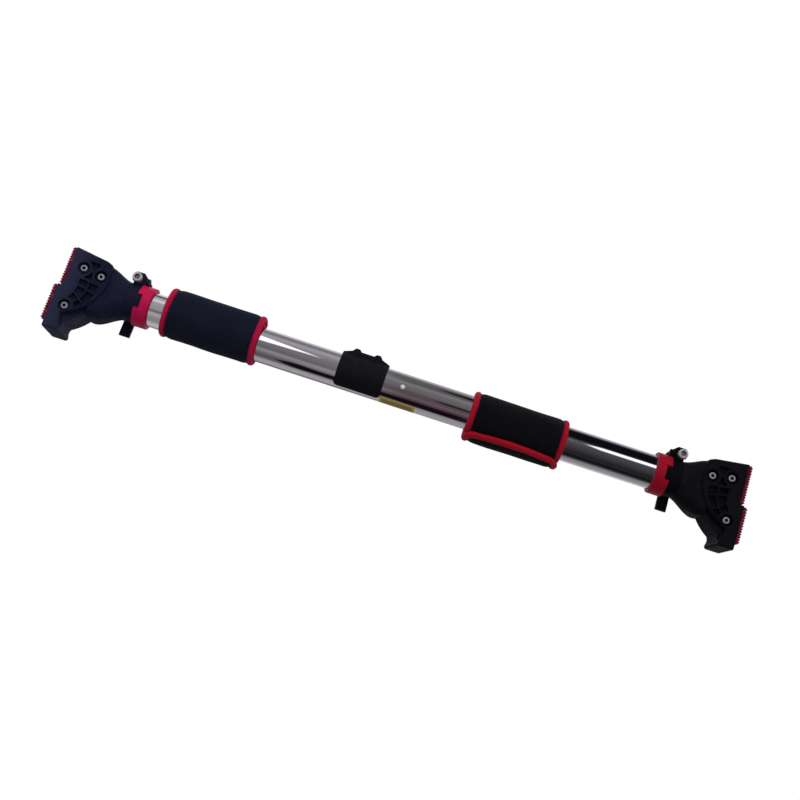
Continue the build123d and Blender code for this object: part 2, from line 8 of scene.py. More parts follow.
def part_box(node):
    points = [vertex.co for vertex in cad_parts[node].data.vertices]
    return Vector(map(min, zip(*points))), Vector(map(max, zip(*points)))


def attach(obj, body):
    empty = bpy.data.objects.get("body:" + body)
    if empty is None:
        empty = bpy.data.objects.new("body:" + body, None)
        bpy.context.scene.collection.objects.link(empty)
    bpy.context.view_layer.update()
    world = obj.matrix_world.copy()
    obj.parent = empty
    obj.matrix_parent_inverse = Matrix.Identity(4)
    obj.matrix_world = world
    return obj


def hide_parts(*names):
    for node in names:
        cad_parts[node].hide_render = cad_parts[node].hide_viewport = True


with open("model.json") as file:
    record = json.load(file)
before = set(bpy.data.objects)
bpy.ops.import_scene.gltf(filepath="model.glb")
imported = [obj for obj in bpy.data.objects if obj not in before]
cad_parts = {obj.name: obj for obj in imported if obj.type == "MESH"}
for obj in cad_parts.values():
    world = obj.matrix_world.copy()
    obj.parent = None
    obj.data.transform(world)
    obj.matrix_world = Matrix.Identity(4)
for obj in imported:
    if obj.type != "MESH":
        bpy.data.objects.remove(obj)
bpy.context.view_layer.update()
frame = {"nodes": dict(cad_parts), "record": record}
nodes = frame["nodes"]


# ------------------------------------------------------------------ shader maths

class Link:
    """A shader socket that can be used in plain arithmetic."""

    def __init__(self, recipe, socket):
        self.recipe = recipe
        self.socket = socket

    def _math(self, operation, *values):
        sockets = dict(enumerate(values))
        return self.recipe.node("ShaderNodeMath", {"operation": operation}, sockets)

    def __add__(self, other):
        return self._math("ADD", self, other)

    __radd__ = __add__

    def __sub__(self, other):
        return self._math("SUBTRACT", self, other)

    def __rsub__(self, other):
        return self._math("SUBTRACT", other, self)

    def __mul__(self, other):
        return self._math("MULTIPLY", self, other)

    __rmul__ = __mul__

    def __truediv__(self, other):
        return self._math("DIVIDE", self, other)

    def __lt__(self, other):
        return self._math("LESS_THAN", self, other)

    def __abs__(self):
        return self._math("ABSOLUTE", self)

    def sine(self):
        return self._math("SINE", self)

    def top(self, other):
        return self._math("MAXIMUM", self, other)

    def low(self, other):
        return self._math("MINIMUM", self, other)

    def angle_from(self, other):
        return self._math("ARCTAN2", self, other)

    def rise(self, start, end, low=0.0, high=1.0):
        """Low below start, high above end, and smooth between."""
        settings = {"interpolation_type": "SMOOTHSTEP"}
        sockets = {"Value": self, "From Min": start, "From Max": end, "To Min": low, "To Max": high}
        return self.recipe.node("ShaderNodeMapRange", settings, sockets)


class Recipe:
    """The node tree of one material or of the world."""

    def __init__(self, tree):
        self.tree = tree
        tree.nodes.clear()

    def node(self, kind, settings=None, sockets=None, output=0):
        made = self.tree.nodes.new(kind)
        for key, value in (settings or {}).items():
            if key == "stops":
                self._stops(made.color_ramp, value)
            else:
                setattr(made, key, value)
        for key, value in (sockets or {}).items():
            if isinstance(value, Link):
                self.tree.links.new(value.socket, made.inputs[key])
            else:
                made.inputs[key].default_value = value
        return Link(self, made.outputs[output]) if made.outputs else made

    def _stops(self, ramp, stops):
        while len(ramp.elements) < len(stops):
            ramp.elements.new(0.5)
        for element, (place, colour) in zip(ramp.elements, stops):
            element.position = place
            element.color = (*colour, 1.0)

    def place(self):
        """The shaded point, in metres in its piece's own frame."""
        return self.node("ShaderNodeTexCoord", output=3)

    def split(self, vector):
        parts = self.tree.nodes.new("ShaderNodeSeparateXYZ")
        self.tree.links.new(vector.socket, parts.inputs[0])
        return [Link(self, socket) for socket in parts.outputs]

    def noise(self, scale, detail=3.0, stretch=None):
        at = self.place()
        if stretch:
            at = self.node("ShaderNodeVectorMath", {"operation": "MULTIPLY"}, {0: at, 1: stretch})
        return self.node("ShaderNodeTexNoise", sockets={"Vector": at, "Scale": scale, "Detail": detail})

    def cells(self, scale):
        return self.node("ShaderNodeTexVoronoi", sockets={"Vector": self.place(), "Scale": scale})

    def mix(self, amount, low, high):
        low = low if isinstance(low, Link) else (*low, 1.0)
        high = high if isinstance(high, Link) else (*high, 1.0)
        sockets = {0: amount, 6: low, 7: high}
        return self.node("ShaderNodeMix", {"data_type": "RGBA"}, sockets, output=2)

    def bump(self, height, depth, strength=1.0, under=None):
        sockets = {"Height": height, "Distance": depth, "Strength": strength}
        if under:
            sockets["Normal"] = under
        return self.node("ShaderNodeBump", sockets=sockets)

    def surface(self, **inputs):
        names = {"colour": "Base Color", "roughness": "Roughness", "metallic": "Metallic",
                 "normal": "Normal", "specular": "Specular IOR Level", "sheen": "Sheen Weight",
                 "sheen_roughness": "Sheen Roughness"}
        sockets = {}
        for key, value in inputs.items():
            sockets[names[key]] = (*value, 1.0) if isinstance(value, tuple) else value
        shader = self.node("ShaderNodeBsdfPrincipled", sockets=sockets)
        self.node("ShaderNodeOutputMaterial", sockets={"Surface": shader})


def finish_named(name):
    """A new material and its empty recipe."""
    material = bpy.data.materials.new(name)
    material.use_nodes = True
    return material, Recipe(material.node_tree)


def linear(level):
    """One part of a colour as it is seen, 0 to 255, as the linear number a shader takes."""
    return ((level / 255 + 0.055) / 1.055) ** 2.4 if level > 10 else level / 255 / 12.92


def srgb(red, green, blue):
    return linear(red), linear(green), linear(blue)


# ------------------------------------------------------------------ finishes

def chromed_tube():
    material, r = finish_named("chromed_tube")
    haze = r.noise(14.0, stretch=(0.6, 2.0, 2.0))
    lines = r.noise(900.0, stretch=(0.02, 1.0, 1.0), detail=2.0)
    smear = r.noise(45.0, detail=4.0).rise(0.45, 0.75)
    colour = r.mix(haze, srgb(218, 217, 218), srgb(232, 231, 232))
    roughness = 0.022 + 0.035 * smear + 0.016 * lines
    r.surface(colour=colour, metallic=1.0, roughness=roughness, normal=r.bump(lines, 0.00002, 0.25))
    return material


SOCKET_SHADE = srgb(42, 42, 50)
KEY_EDGE, KEY_DEPTH = 0.0001, 0.0012       # how deep in a key socket the painted shade starts, and is full


def plated_steel(name, dark, light, keys=(), reach=0.0, front=0.0, socket_shade=SOCKET_SHADE, dish=0.0, metal=0.62):
    """Bright plating on small hardware, with turning marks and painted shade in the key sockets.

    Keys are the (x, z) of the sockets, the same on both heads; reach is the radius the painted
    shade keeps to, and front the y of the face they are sunk in. Dish is the share of the painted
    shade that lies on that face.
    """
    material, r = finish_named(name)
    marks = r.noise(1600.0, detail=2.0)
    patches = r.noise(180.0, detail=4.0)
    colour = r.mix(patches, dark, light)
    if keys:
        x, y, z = r.split(r.place())
        inside = None
        for key_x, key_z in keys:
            across, up = abs(x) - key_x, z - key_z
            near = (across * across + up * up) < reach ** 2
            inside = inside.top(near) if inside else near
        # Painted shade: darker deeper in the key sockets, and by the dish share on the face round them.
        sunk = y.rise(front + KEY_EDGE, front + KEY_DEPTH, dish, 1.0)
        colour = r.mix(inside * sunk, colour, socket_shade)
    roughness = 0.2 + 0.18 * patches
    r.surface(colour=colour, metallic=metal, roughness=roughness, normal=r.bump(marks, 0.00003, 0.4))
    return material


def dull_zinc():
    material, r = finish_named("dull_zinc")
    spangle = r.cells(420.0)
    film = r.noise(120.0, detail=5.0)
    colour = r.mix(film, srgb(128, 130, 134), srgb(176, 177, 180))
    roughness = 0.34 + 0.22 * film
    r.surface(colour=colour, metallic=1.0, roughness=roughness, normal=r.bump(spangle, 0.00003, 0.4))
    return material


def powder_coat(name, dark, light):
    """Satin powder on the clamp sockets and levers."""
    material, r = finish_named(name)
    peel = r.noise(1500.0, detail=2.0)
    wear = r.noise(260.0, detail=5.0).rise(0.62, 0.8)
    colour = r.mix(wear, dark, light)
    roughness = 0.4 + 0.16 * r.noise(220.0)
    r.surface(colour=colour, roughness=roughness, specular=0.08, normal=r.bump(peel, 0.00006, 0.5))
    return material


PAINTED_LIGHT_FROM, PAINTED_LIGHT_TO = 0.348, 0.386          # where the painted light on a head's outer end starts, and is full


def moulded_plastic(name, dark, light, roughness, specular, pale=None):
    """Spark-eroded texture of a glass-filled moulding, a little polished where hands rub it.

    Pale is the lighter tone it turns to at its outer end, by the pads: painted light.
    """
    material, r = finish_named(name)
    grain = r.cells(1900.0)
    sink = r.noise(55.0, detail=3.0)
    rub = r.noise(140.0, detail=5.0).rise(0.5, 0.72)
    colour = r.mix(sink * 0.6 + rub * 0.4, dark, light)
    if pale:
        # Painted light: the head turns lighter towards its outer end.
        x, _, _ = r.split(r.place())
        colour = r.mix(abs(x).rise(PAINTED_LIGHT_FROM, PAINTED_LIGHT_TO, 0.0, 0.8), colour, pale)
    fine = r.bump(grain, 0.00007, 0.45)
    normal = r.bump(sink, 0.0006, 0.25, under=fine)
    polished = roughness + 0.14 * sink - 0.1 * rub
    r.surface(colour=colour, roughness=polished, specular=specular, normal=normal)
    return material


def red_nylon(name, dark, light):
    """Smooth moulded nylon of the lock rings, with faint flow marks."""
    material, r = finish_named(name)
    flow = r.noise(90.0, stretch=(1.0, 2.5, 2.5), detail=4.0)
    grain = r.noise(2600.0, detail=2.0)
    colour = r.mix(flow, dark, light)
    roughness = 0.34 + 0.14 * flow
    r.surface(colour=colour, roughness=roughness, specular=0.16, normal=r.bump(grain, 0.00004, 0.4))
    return material


def speckled_rubber():
    """Pad rubber with pale crumbs in it, paler where its studs are scuffed."""
    material, r = finish_named("speckled_rubber")
    crumbs = r.cells(620.0)
    pale = (crumbs < 0.26) * r.noise(300.0, detail=2.0).rise(0.44, 0.54)
    tone = r.noise(70.0, detail=4.0)
    height = r.node("ShaderNodeAttribute", {"attribute_name": "stud"}, output=2)
    scuffed = height.rise(0.35, 1.0) * (0.5 + 0.5 * r.noise(420.0, detail=2.0))
    base = r.mix(tone, srgb(92, 2, 34), srgb(128, 8, 50))
    colour = r.mix((scuffed * 0.75).top(pale * 0.6), base, srgb(222, 150, 178))
    normal = r.bump(crumbs, 0.00012, 0.5)
    r.surface(colour=colour, roughness=0.66 + 0.2 * tone, specular=0.22, normal=normal)
    return material


def knit_foam(name, dark, light):
    """Closed-cell foam faced with a fine knit."""
    material, r = finish_named(name)
    x, y, z = r.split(r.place())
    round_bar = z.angle_from(y)
    courses = (x * 7800.0 + (round_bar * 210.0).sine() * 1.1).sine()
    wales = (round_bar * 190.0).sine()
    loops = courses * 0.5 + wales * 0.5
    fuzz = r.noise(2400.0, detail=3.0)
    worn = r.noise(38.0, detail=5.0)
    colour = r.mix(worn * 0.7 + fuzz * 0.3, dark, light)
    normal = r.bump(loops, 0.00016, 0.6, under=r.bump(worn, 0.0012, 0.3))
    r.surface(colour=colour, roughness=0.86, specular=0.12, sheen=0.06, sheen_roughness=0.4,
              normal=normal)
    return material


def woven_binding(name, dark, light):
    """Red binding tape, ribbed along its roll, with painted shade in the grooves of its ribs and on its
    side that rolls in towards the foam, where it is sewn down.
    """
    material, r = finish_named(name)
    at = r.node("ShaderNodeUVMap", {"uv_map": "binding"})
    along, across, _ = r.split(at)
    ribs = (along * 2 * pi).sine()
    weft = (across * 2 * pi * 9.0).sine()
    fibres = r.noise(1800.0, detail=3.0)
    faded = r.noise(60.0, detail=4.0)
    colour = r.mix(faded * 0.6 + fibres * 0.4, dark, light)
    # Painted shade in the grooves between the ribs.
    shade = r.mix(ribs.rise(-1.0, -0.4) * 0.45 + 0.55, srgb(74, 4, 18), colour)
    # Painted shade on the tape's side that rolls in towards the foam; sewn names that side, not a
    # cause.
    sewn = (across * 2 * pi - pi / 2).sine().rise(0.1, 0.95) * 0.75
    shade = r.mix(sewn, shade, srgb(66, 0, 26))
    normal = r.bump(ribs * 0.7 + weft * 0.3, 0.00022, 0.7)
    r.surface(colour=shade, roughness=0.72, specular=0.16, sheen=0.05, sheen_roughness=0.5,
              normal=normal)
    return material


LABEL_TOP, LABEL_BOTTOM = 55.0, 98.0       # its long edges, in degrees down from the front
LABEL_RADIUS = 0.019                       # of the tube it is stuck to
LABEL_BORDER = 0.0023, 0.0027              # where the border ends and the field begins


def printed_film():
    """The bare label: a yellow border round an olive field."""
    material, r = finish_named("printed_film")
    low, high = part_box("label")
    x, y, z = r.split(r.place())
    middle = (low[0] + high[0]) / 2
    half = (high[0] - low[0]) / 2
    turn = z.angle_from(y * -1.0) * -1.0
    upper = turn - radians(LABEL_TOP)
    lower = radians(LABEL_BOTTOM) - turn
    border = (half - abs(x - middle)).low(upper.low(lower) * LABEL_RADIUS)
    inside = border.rise(*LABEL_BORDER)
    streaks = r.noise(500.0, stretch=(0.3, 1.0, 1.0), detail=3.0)
    field = r.mix(streaks, srgb(132, 108, 36), srgb(160, 132, 54))
    edge = r.mix(streaks, srgb(196, 160, 34), srgb(214, 184, 70))
    colour = r.mix(inside, edge, field)
    roughness = 0.34 + 0.12 * streaks
    r.surface(colour=colour, roughness=roughness, specular=0.5, normal=r.bump(streaks, 0.00002, 0.3))
    return material


BOLT_KEYS = [(0.3102, 0.0270)]
SCREW_KEYS = [(0.3435, 0.0114), (0.3643, 0.0150), (0.3692, -0.0303)]

CHROME = chromed_tube()
# Painted highlight: the snap button's chrome dome is painted near-white and mostly matt, standing for
# its glint.
BUTTON_PAINTED_GLINT = plated_steel("button_painted_glint", srgb(238, 238, 240), srgb(252, 252, 253), metal=0.2)
# The bolts and screws carry painted shade in their key sockets.
BOLT_STEEL = plated_steel("bolt_steel", srgb(206, 205, 209), srgb(240, 239, 242), BOLT_KEYS,
                          reach=0.0036, front=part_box("left_clamp_bolt")[0][1],
                          socket_shade=srgb(150, 148, 154))
SCREW_STEEL = plated_steel("screw_steel", srgb(186, 186, 194), srgb(228, 228, 236), SCREW_KEYS,
                           reach=0.0024, front=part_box("left_housing_screws")[0][1], dish=0.55)
ZINC = dull_zinc()
POWDER = powder_coat("black_powder", srgb(10, 10, 14), srgb(26, 25, 30))
# Painted light: the left socket's powder is a bluish-lit copy of the black powder.
BLUE_LIT_POWDER = powder_coat("blue_lit_powder", srgb(24, 26, 47), srgb(38, 40, 62))
# Painted light: the levers' powder is painted lighter than the sockets' against the shade they hang in,
# the left one in bluish light.
LEFT_LEVER_BLUE_LIT = powder_coat("left_lever_powder_blue_lit", srgb(32, 32, 48), srgb(46, 46, 62))
RIGHT_LEVER_LIT = powder_coat("right_lever_powder_lit", srgb(25, 25, 28), srgb(36, 36, 40))
# Painted light and shade: one plastic in two copies, the left head's painted in bluish light, the right
# head's in shade; the left one also has painted light at its outer end.
LEFT_SHELL_BLUE_LIT = moulded_plastic("left_housing_plastic_blue_lit", srgb(20, 22, 43), srgb(38, 42, 68),
                             roughness=0.48, specular=0.07, pale=srgb(50, 54, 76))
RIGHT_SHELL_SHADED = moulded_plastic("right_housing_plastic_shaded", srgb(15, 14, 19), srgb(27, 25, 32),
                              roughness=0.5, specular=0.04)
SADDLE_SKIN = moulded_plastic("saddle_plastic", srgb(13, 12, 17), srgb(25, 24, 31),
                              roughness=0.55, specular=0.18)
# Painted light and shade: one nylon in two copies, the left ring's painted lit, the right ring's darker
# in painted shade.
LEFT_NYLON_LIT = red_nylon("left_ring_nylon_lit", srgb(184, 4, 64), srgb(210, 14, 86))
RIGHT_NYLON_SHADED = red_nylon("right_ring_nylon_shaded", srgb(146, 0, 26), srgb(172, 2, 40))
PAD_RUBBER = speckled_rubber()
# Painted light and shade: one knit foam in two copies, the left grip's painted in bluish light, the
# right grip's in shade.
LEFT_KNIT_BLUE_LIT = knit_foam("left_knit_foam_blue_lit", srgb(14, 17, 31), srgb(29, 33, 53))
RIGHT_KNIT_SHADED = knit_foam("right_knit_foam_shaded", srgb(8, 8, 12), srgb(20, 19, 26))
# Painted light and shade: one binding tape in two copies, the left grip's painted lit, the right grip's
# darker in painted shade.
LEFT_BINDING_LIT = woven_binding("left_woven_binding_lit", srgb(174, 0, 52), srgb(226, 12, 80))
RIGHT_BINDING_SHADED = woven_binding("right_woven_binding_shaded", srgb(164, 0, 24), srgb(214, 8, 48))
LABEL_FILM = printed_film()


def paint(names, material):
    """Gives frame nodes a finish, and keeps their CAD shape."""
    for name in names:
        mesh = nodes[name].data
        mesh.materials.clear()
        mesh.materials.append(material)


def both(*pieces):
    """The left and right node of each piece."""
    return [side + "_" + piece for side in ("left", "right") for piece in pieces]


paint(["left_tube", "right_tube"], CHROME)
paint(["snap_button"], BUTTON_PAINTED_GLINT)
paint(both("clamp_bolt"), BOLT_STEEL)
paint(both("housing_screws"), SCREW_STEEL)
paint(both("lead_screw", "housing_nuts", "barrel_nut", "nut_plug"), ZINC)
paint(["joint_sleeve", "button_spring"], ZINC)
paint(["left_socket"], BLUE_LIT_POWDER)
paint(both("core_plate") + ["right_socket"], POWDER)
paint(["left_cam_lever"], LEFT_LEVER_BLUE_LIT)
paint(["right_cam_lever"], RIGHT_LEVER_LIT)
paint(["left_front_shell", "left_rear_shell"], LEFT_SHELL_BLUE_LIT)
paint(["right_front_shell", "right_rear_shell"], RIGHT_SHELL_SHADED)
paint(["saddle"], SADDLE_SKIN)
paint(["left_lock_ring"], LEFT_NYLON_LIT)
paint(["right_lock_ring"], RIGHT_NYLON_SHADED)
paint(["label"], LABEL_FILM)


# ------------------------------------------------------------------ meshes

def bring(mesh_name, points, faces, material, smooth=True):
    """A new piece of the scene, made from points and faces."""
    mesh = bpy.data.meshes.new(mesh_name)
    mesh.from_pydata(points, [], faces)
    mesh.update()
    mesh.materials.append(material)
    piece = bpy.data.objects.new(mesh_name, mesh)
    bpy.context.scene.collection.objects.link(piece)
    if smooth:
        mesh.polygons.foreach_set("use_smooth", [True] * len(mesh.polygons))
    return piece


def outward_faces(piece):
    bm = bmesh.new()
    bm.from_mesh(piece.data)
    bmesh.ops.recalc_face_normals(bm, faces=bm.faces)
    bm.to_mesh(piece.data)
    bm.free()


def frame_body(node):
    """The body that a node of the frame belongs to."""
    bodies = frame["record"]["behaviour"]["bodies"]
    return next(body for body, members in bodies.items() if node in members)


def ease(value):
    """0 up to 0, 1 from 1 on, and smooth between."""
    value = min(1.0, max(0.0, value))
    return value * value * (3 - 2 * value)


# ------------------------------------------------------------------ studded pads

class StuddedPad:
    """Pad rubber moulded in rows of blunt studs, which grip the wall or the frame."""

    PITCH = 0.0030
    STUD = 0.0021           # height of a stud
    TOP = 0.3               # stud's flat top, as a share of the pitch
    EDGE = 0.0006           # bare rim round the studs
    WEAR = 0.00022          # mean wear of a stud's top
    PATCH = 260             # scale of the worn patches

    def __init__(self, node):
        self.node = node
        low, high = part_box(node)
        outward = 1 if high[0] > 0 else -1
        self.tip, self.back = (high[0], low[0]) if outward > 0 else (low[0], high[0])
        self.seat = self.tip - outward * self.STUD
        self.low, self.high = low, high
        self.points, self.faces, self.heights = [], [], []

    def point(self, x, y, z, height=0.0):
        self.points.append((x, y, z))
        self.heights.append(height)
        return len(self.points) - 1

    def lines(self, axis):
        """Where the studs' rows meet, along y or z."""
        start, end = self.low[axis] + self.EDGE, self.high[axis] - self.EDGE
        count = max(2, round((end - start) / self.PITCH))
        return [start + (end - start) * i / count for i in range(count + 1)]

    def make(self):
        ys, zs = self.lines(1), self.lines(2)
        grid = [[self.point(self.seat, y, z) for y in ys] for z in zs]
        for j in range(len(zs) - 1):
            for i in range(len(ys) - 1):
                foot = (grid[j][i], grid[j][i + 1], grid[j + 1][i + 1], grid[j + 1][i])
                y, z = (ys[i] + ys[i + 1]) / 2, (zs[j] + zs[j + 1]) / 2
                reach_y = (ys[1] - ys[0]) * self.TOP / 2
                reach_z = (zs[1] - zs[0]) * self.TOP / 2
                at = Vector((y * self.PATCH, z * self.PATCH, self.tip * 40))
                worn = self.WEAR * (1 + noise.noise(at))
                x = self.tip + (worn if self.tip < 0 else -worn)
                top = [self.point(x, y + reach_y * a, z + reach_z * b, 1.0)
                       for a, b in ((-1, -1), (1, -1), (1, 1), (-1, 1))]
                self.faces.append(tuple(top))
                for k in range(4):
                    n = (k + 1) % 4
                    self.faces.append((foot[k], foot[n], top[n], top[k]))
        rim = grid[0] + [row[-1] for row in grid[1:]] + grid[-1][-2::-1]
        self.skirt(rim + [row[0] for row in grid[-2:0:-1]])
        piece = bring(self.node + "_studs", self.points, self.faces, PAD_RUBBER, smooth=False)
        layer = piece.data.attributes.new("stud", "FLOAT", "POINT")
        layer.data.foreach_set("value", self.heights)
        outward_faces(piece)
        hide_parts(self.node)
        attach(piece, frame_body(self.node))

    def past_edge(self, value, axis):
        """A coordinate of the studs' rim, moved out to the pad's own side."""
        low, high = self.low[axis], self.high[axis]
        moved = value + self.EDGE * (1 if value > (low + high) / 2 else -1)
        return min(max(moved, low), high)

    def skirt(self, rim):
        """The pad's sides down to its back, and the back."""
        ring = []
        for k in rim:
            _, y, z = self.points[k]
            ring.append(self.point(self.seat, self.past_edge(y, 1), self.past_edge(z, 2)))
        root = [self.point(self.back, self.points[k][1], self.points[k][2]) for k in ring]
        for upper, lower in ((rim, ring), (ring, root)):
            for k in range(len(upper)):
                n = (k + 1) % len(upper)
                self.faces.append((upper[k], upper[n], lower[n], lower[k]))
        self.faces.append(tuple(root))


for node in both("upper_pad", "lower_pad"):
    StuddedPad(node).make()


# ------------------------------------------------------------------ wrapped grips

class Wrap:
    """A padded sheet wound once round the bar, its outer end lapped over its inner end.

    A place on it is (x, turn): x along the bar, and the turn in degrees from the front over
    the top. It starts at the turn `start` and goes on for `length` degrees; the middle of its
    outer end reaches `bow` degrees further. The `seed` sets its unevenness.
    """

    BAR = 0.0193            # bar's radius with its clearance
    LAYER = 0.0047          # sheet's thickness
    MEAN = 0.0265           # radius that lengths round the sheet are measured at
    SWATCH = 0.03           # radius the unevenness is sampled at
    SHEET_WAVE = 0.0007, 30.0   # unevenness of the sheet: its size, and how close it comes
    BOW_OVER = 70           # degrees the outer end's bow dies away in

    LIFT = 0.0062           # outer end over the inner end
    LIFT_FROM = 62          # degrees short of a full round where the sheet starts to lift,
    LIFT_OVER = 66          # and degrees it takes

    INSET = 0.0029          # foam's sides inside the grip's ends,
    END = 6                 # and its ends inside the sheet's, in degrees
    CORNER = 0.0087         # round of the foam's corners
    PUFF = 0.011            # width of the foam's softened edge
    THIN = 0.44             # foam's thickness at its edge, as a share of the sheet's
    SWELL = 0.0004          # outer face's extra fullness
    FOAM_STEPS = 56, 230    # along the bar and round it

    TAPE_WIDE = 0.0036      # half the binding's width
    TAPE_HIGH = 0.0031      # and half its height
    TAPE_CORNER = 0.008     # round of its corners
    TAPE_SIDES = 14
    TAPE_STEPS = 150, 40, 8     # round the bar, along it and in a corner
    WIDE_WAVE = 0.0005, 60.0
    HIGH_WAVE = 0.0004, 70.0
    SEAM = 0.0009           # extra half width along the outer end, towards its left corner,
    SEAM_FROM = 26          # from so many degrees before the end,
    SEAM_OVER = 12          # and degrees it grows in
    RIB = 0.0009            # pitch of the tape's ribs

    def __init__(self, name, node, finishes, start, length, bow, seed):
        low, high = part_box(node + "_piping")
        self.name = name
        self.node = node
        self.knit, self.tape = finishes
        self.x0, self.x1 = low[0], high[0]
        self.start, self.length = start, length
        self.bow = bow
        self.seed = seed

    def lift(self, turn):
        """How far the middle of the sheet lies out from the first layer."""
        past = turn - self.start - 360
        return self.LIFT * ease((past + self.LIFT_FROM) / self.LIFT_OVER)

    def wobble(self, x, turn, size, step):
        """The unevenness of hand-cut foam and hand-sewn tape."""
        a = radians(turn)
        y, z = cos(a) * self.SWATCH, sin(a) * self.SWATCH + self.seed
        return size * noise.noise(Vector((x * step, y * step, z * step)))

    def middle(self, x, turn, out=0.0):
        """A point on the middle of the sheet, or out from it."""
        a = radians(turn)
        radius = self.BAR + self.LAYER / 2 + self.lift(turn) + out
        radius += self.wobble(x, turn, *self.SHEET_WAVE)
        return Vector((x, -radius * cos(a), radius * sin(a)))

    def outline(self):
        """The middle of the binding as (x, turn) places, with round corners."""
        per_metre = degrees(1 / self.MEAN)
        inset, corner = self.TAPE_WIDE, self.TAPE_CORNER
        x0, x1 = self.x0 + inset, self.x1 - inset
        t0 = self.start + inset * per_metre
        t1 = self.start + self.length - inset * per_metre
        rise = corner * per_metre
        round_bar, along_bar, in_corner = self.TAPE_STEPS
        places = []

        def line(a, b, count):
            places.extend((a[0] + (b[0] - a[0]) * i / count, a[1] + (b[1] - a[1]) * i / count)
                          for i in range(count))

        def bend(x, t, begin):
            for i in range(in_corner):
                a = radians(begin + 90 * i / in_corner)
                places.append((x + corner * cos(a), t + rise * sin(a)))

        line((x0, t1 - rise), (x0, t0 + rise), round_bar)
        bend(x0 + corner, t0 + rise, 180)
        line((x0 + corner, t0), (x1 - corner, t0), along_bar)
        bend(x1 - corner, t0 + rise, 270)
        line((x1, t0 + rise), (x1, t1 - rise), round_bar)
        bend(x1 - corner, t1 - rise, 0)
        line((x1 - corner, t1), (x0 + corner, t1), along_bar)
        bend(x0 + corner, t1 - rise, 90)
        return [(x, t + self.bowed(x, t)) for x, t in places]

    def bowed(self, x, turn):
        """How much further the sheet reaches at x, near its outer end."""
        share = (x - self.x0) / (self.x1 - self.x0)
        near_end = ease((turn - self.start - self.length + self.BOW_OVER) / self.BOW_OVER)
        return near_end * self.bow * sin(pi * share)

    def foam(self):
        """The padded sheet, rounded at its corners and thin at its edges."""
        across, around = self.FOAM_STEPS
        wide = self.x1 - self.x0
        points, faces = [], []
        for side in (1, -1):
            for j in range(around + 1):
                share = j / around
                to_lap = min(share, 1 - share) * radians(self.length) * self.MEAN
                short = max(0.0, 1 - to_lap / self.CORNER)
                edge = self.INSET + self.CORNER * (1 - sqrt(1 - short * short))
                for i in range(across + 1):
                    x = self.x0 + edge + (wide - 2 * edge) * i / across
                    turn = self.start + self.END + (self.length - 2 * self.END) * share
                    turn += self.bowed(x, turn)
                    to_end = min(i, across - i) / across * wide
                    puff = ease(min(to_end, to_lap) / self.PUFF)
                    half = self.LAYER / 2 * (self.THIN + (1 - self.THIN) * puff)
                    swell = self.SWELL * puff if side > 0 else 0.0
                    points.append(self.middle(x, turn, side * half + swell))
        row = across + 1
        size = row * (around + 1)
        for j in range(around):
            for i in range(across):
                a = j * row + i
                faces.append((a, a + 1, a + row + 1, a + row))
                faces.append((size + a, size + a + row, size + a + row + 1, size + a + 1))
        rim = list(range(across)) + [j * row + across for j in range(around)]
        rim += [around * row + i for i in range(across, 0, -1)]
        rim += [j * row for j in range(around, 0, -1)]
        for a, b in zip(rim, rim[1:] + rim[:1]):
            faces.append((a, size + a, size + b, b))
        piece = bring(self.name + "_foam", points, faces, self.knit)
        outward_faces(piece)
        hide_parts(self.node)
        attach(piece, frame_body(self.node))

    def binding(self):
        """The rolled binding sewn all round the sheet's edge."""
        places = self.outline()
        centres = [self.middle(x, t) for x, t in places]
        count, sides = len(centres), self.TAPE_SIDES
        points, faces = [], []
        travelled, stations = 0.0, []
        for k in range(count):
            ahead, behind = centres[(k + 1) % count], centres[k - 1]
            along = (ahead - behind).normalized()
            x, turn = places[k]
            a = radians(turn)
            inward = along.cross(Vector((0, -cos(a), sin(a)))).normalized()
            out = inward.cross(along).normalized()
            share = (x - self.x0) / (self.x1 - self.x0)
            at_seam = ease((turn - self.start - self.length + self.SEAM_FROM) / self.SEAM_OVER)
            half_wide = self.TAPE_WIDE + self.wobble(x, turn, *self.WIDE_WAVE)
            half_wide += self.SEAM * at_seam * (1 - share)
            half_high = self.TAPE_HIGH + self.wobble(x, turn + 40, *self.HIGH_WAVE)
            for s in range(sides):
                b = 2 * pi * s / sides
                points.append(centres[k] + inward * half_wide * cos(b) + out * half_high * sin(b))
            stations.append(travelled)
            travelled += (ahead - centres[k]).length
        for k in range(count):
            n = (k + 1) % count
            for s in range(sides):
                q = (s + 1) % sides
                faces.append((k * sides + s, n * sides + s, n * sides + q, k * sides + q))
        piece = bring(self.name + "_binding", points, faces, self.tape)
        mesh = piece.data
        layer = mesh.uv_layers.new(name="binding")
        ribs = [station / self.RIB for station in stations + [travelled]]
        for k in range(count):
            for s in range(sides):
                corners = ((ribs[k], s), (ribs[k + 1], s), (ribs[k + 1], s + 1), (ribs[k], s + 1))
                for loop, (u, v) in zip(mesh.polygons[k * sides + s].loop_indices, corners):
                    layer.data[loop].uv = (u, v / sides)
        outward_faces(piece)
        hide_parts(self.node + "_piping")
        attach(piece, frame_body(self.node))


for wrap in (Wrap("left_wrap", "left_grip", (LEFT_KNIT_BLUE_LIT, LEFT_BINDING_LIT),
                  start=74.0, length=422.0, bow=0.0, seed=1.3),
             Wrap("right_wrap", "right_grip", (RIGHT_KNIT_SHADED, RIGHT_BINDING_SHADED),
                  start=-150.0, length=452.0, bow=9.0, seed=4.1)):
    wrap.foam()
    wrap.binding()


# ------------------------------------------------------------------ camera

CAMERA = {"lens": 50.4, "distance": 1.2155, "azimuth": 0.84, "elevation": -12.47, "roll": 18.19,
          "target": (0.0019, 0.0, -0.01024)}
SENSOR = 36.0


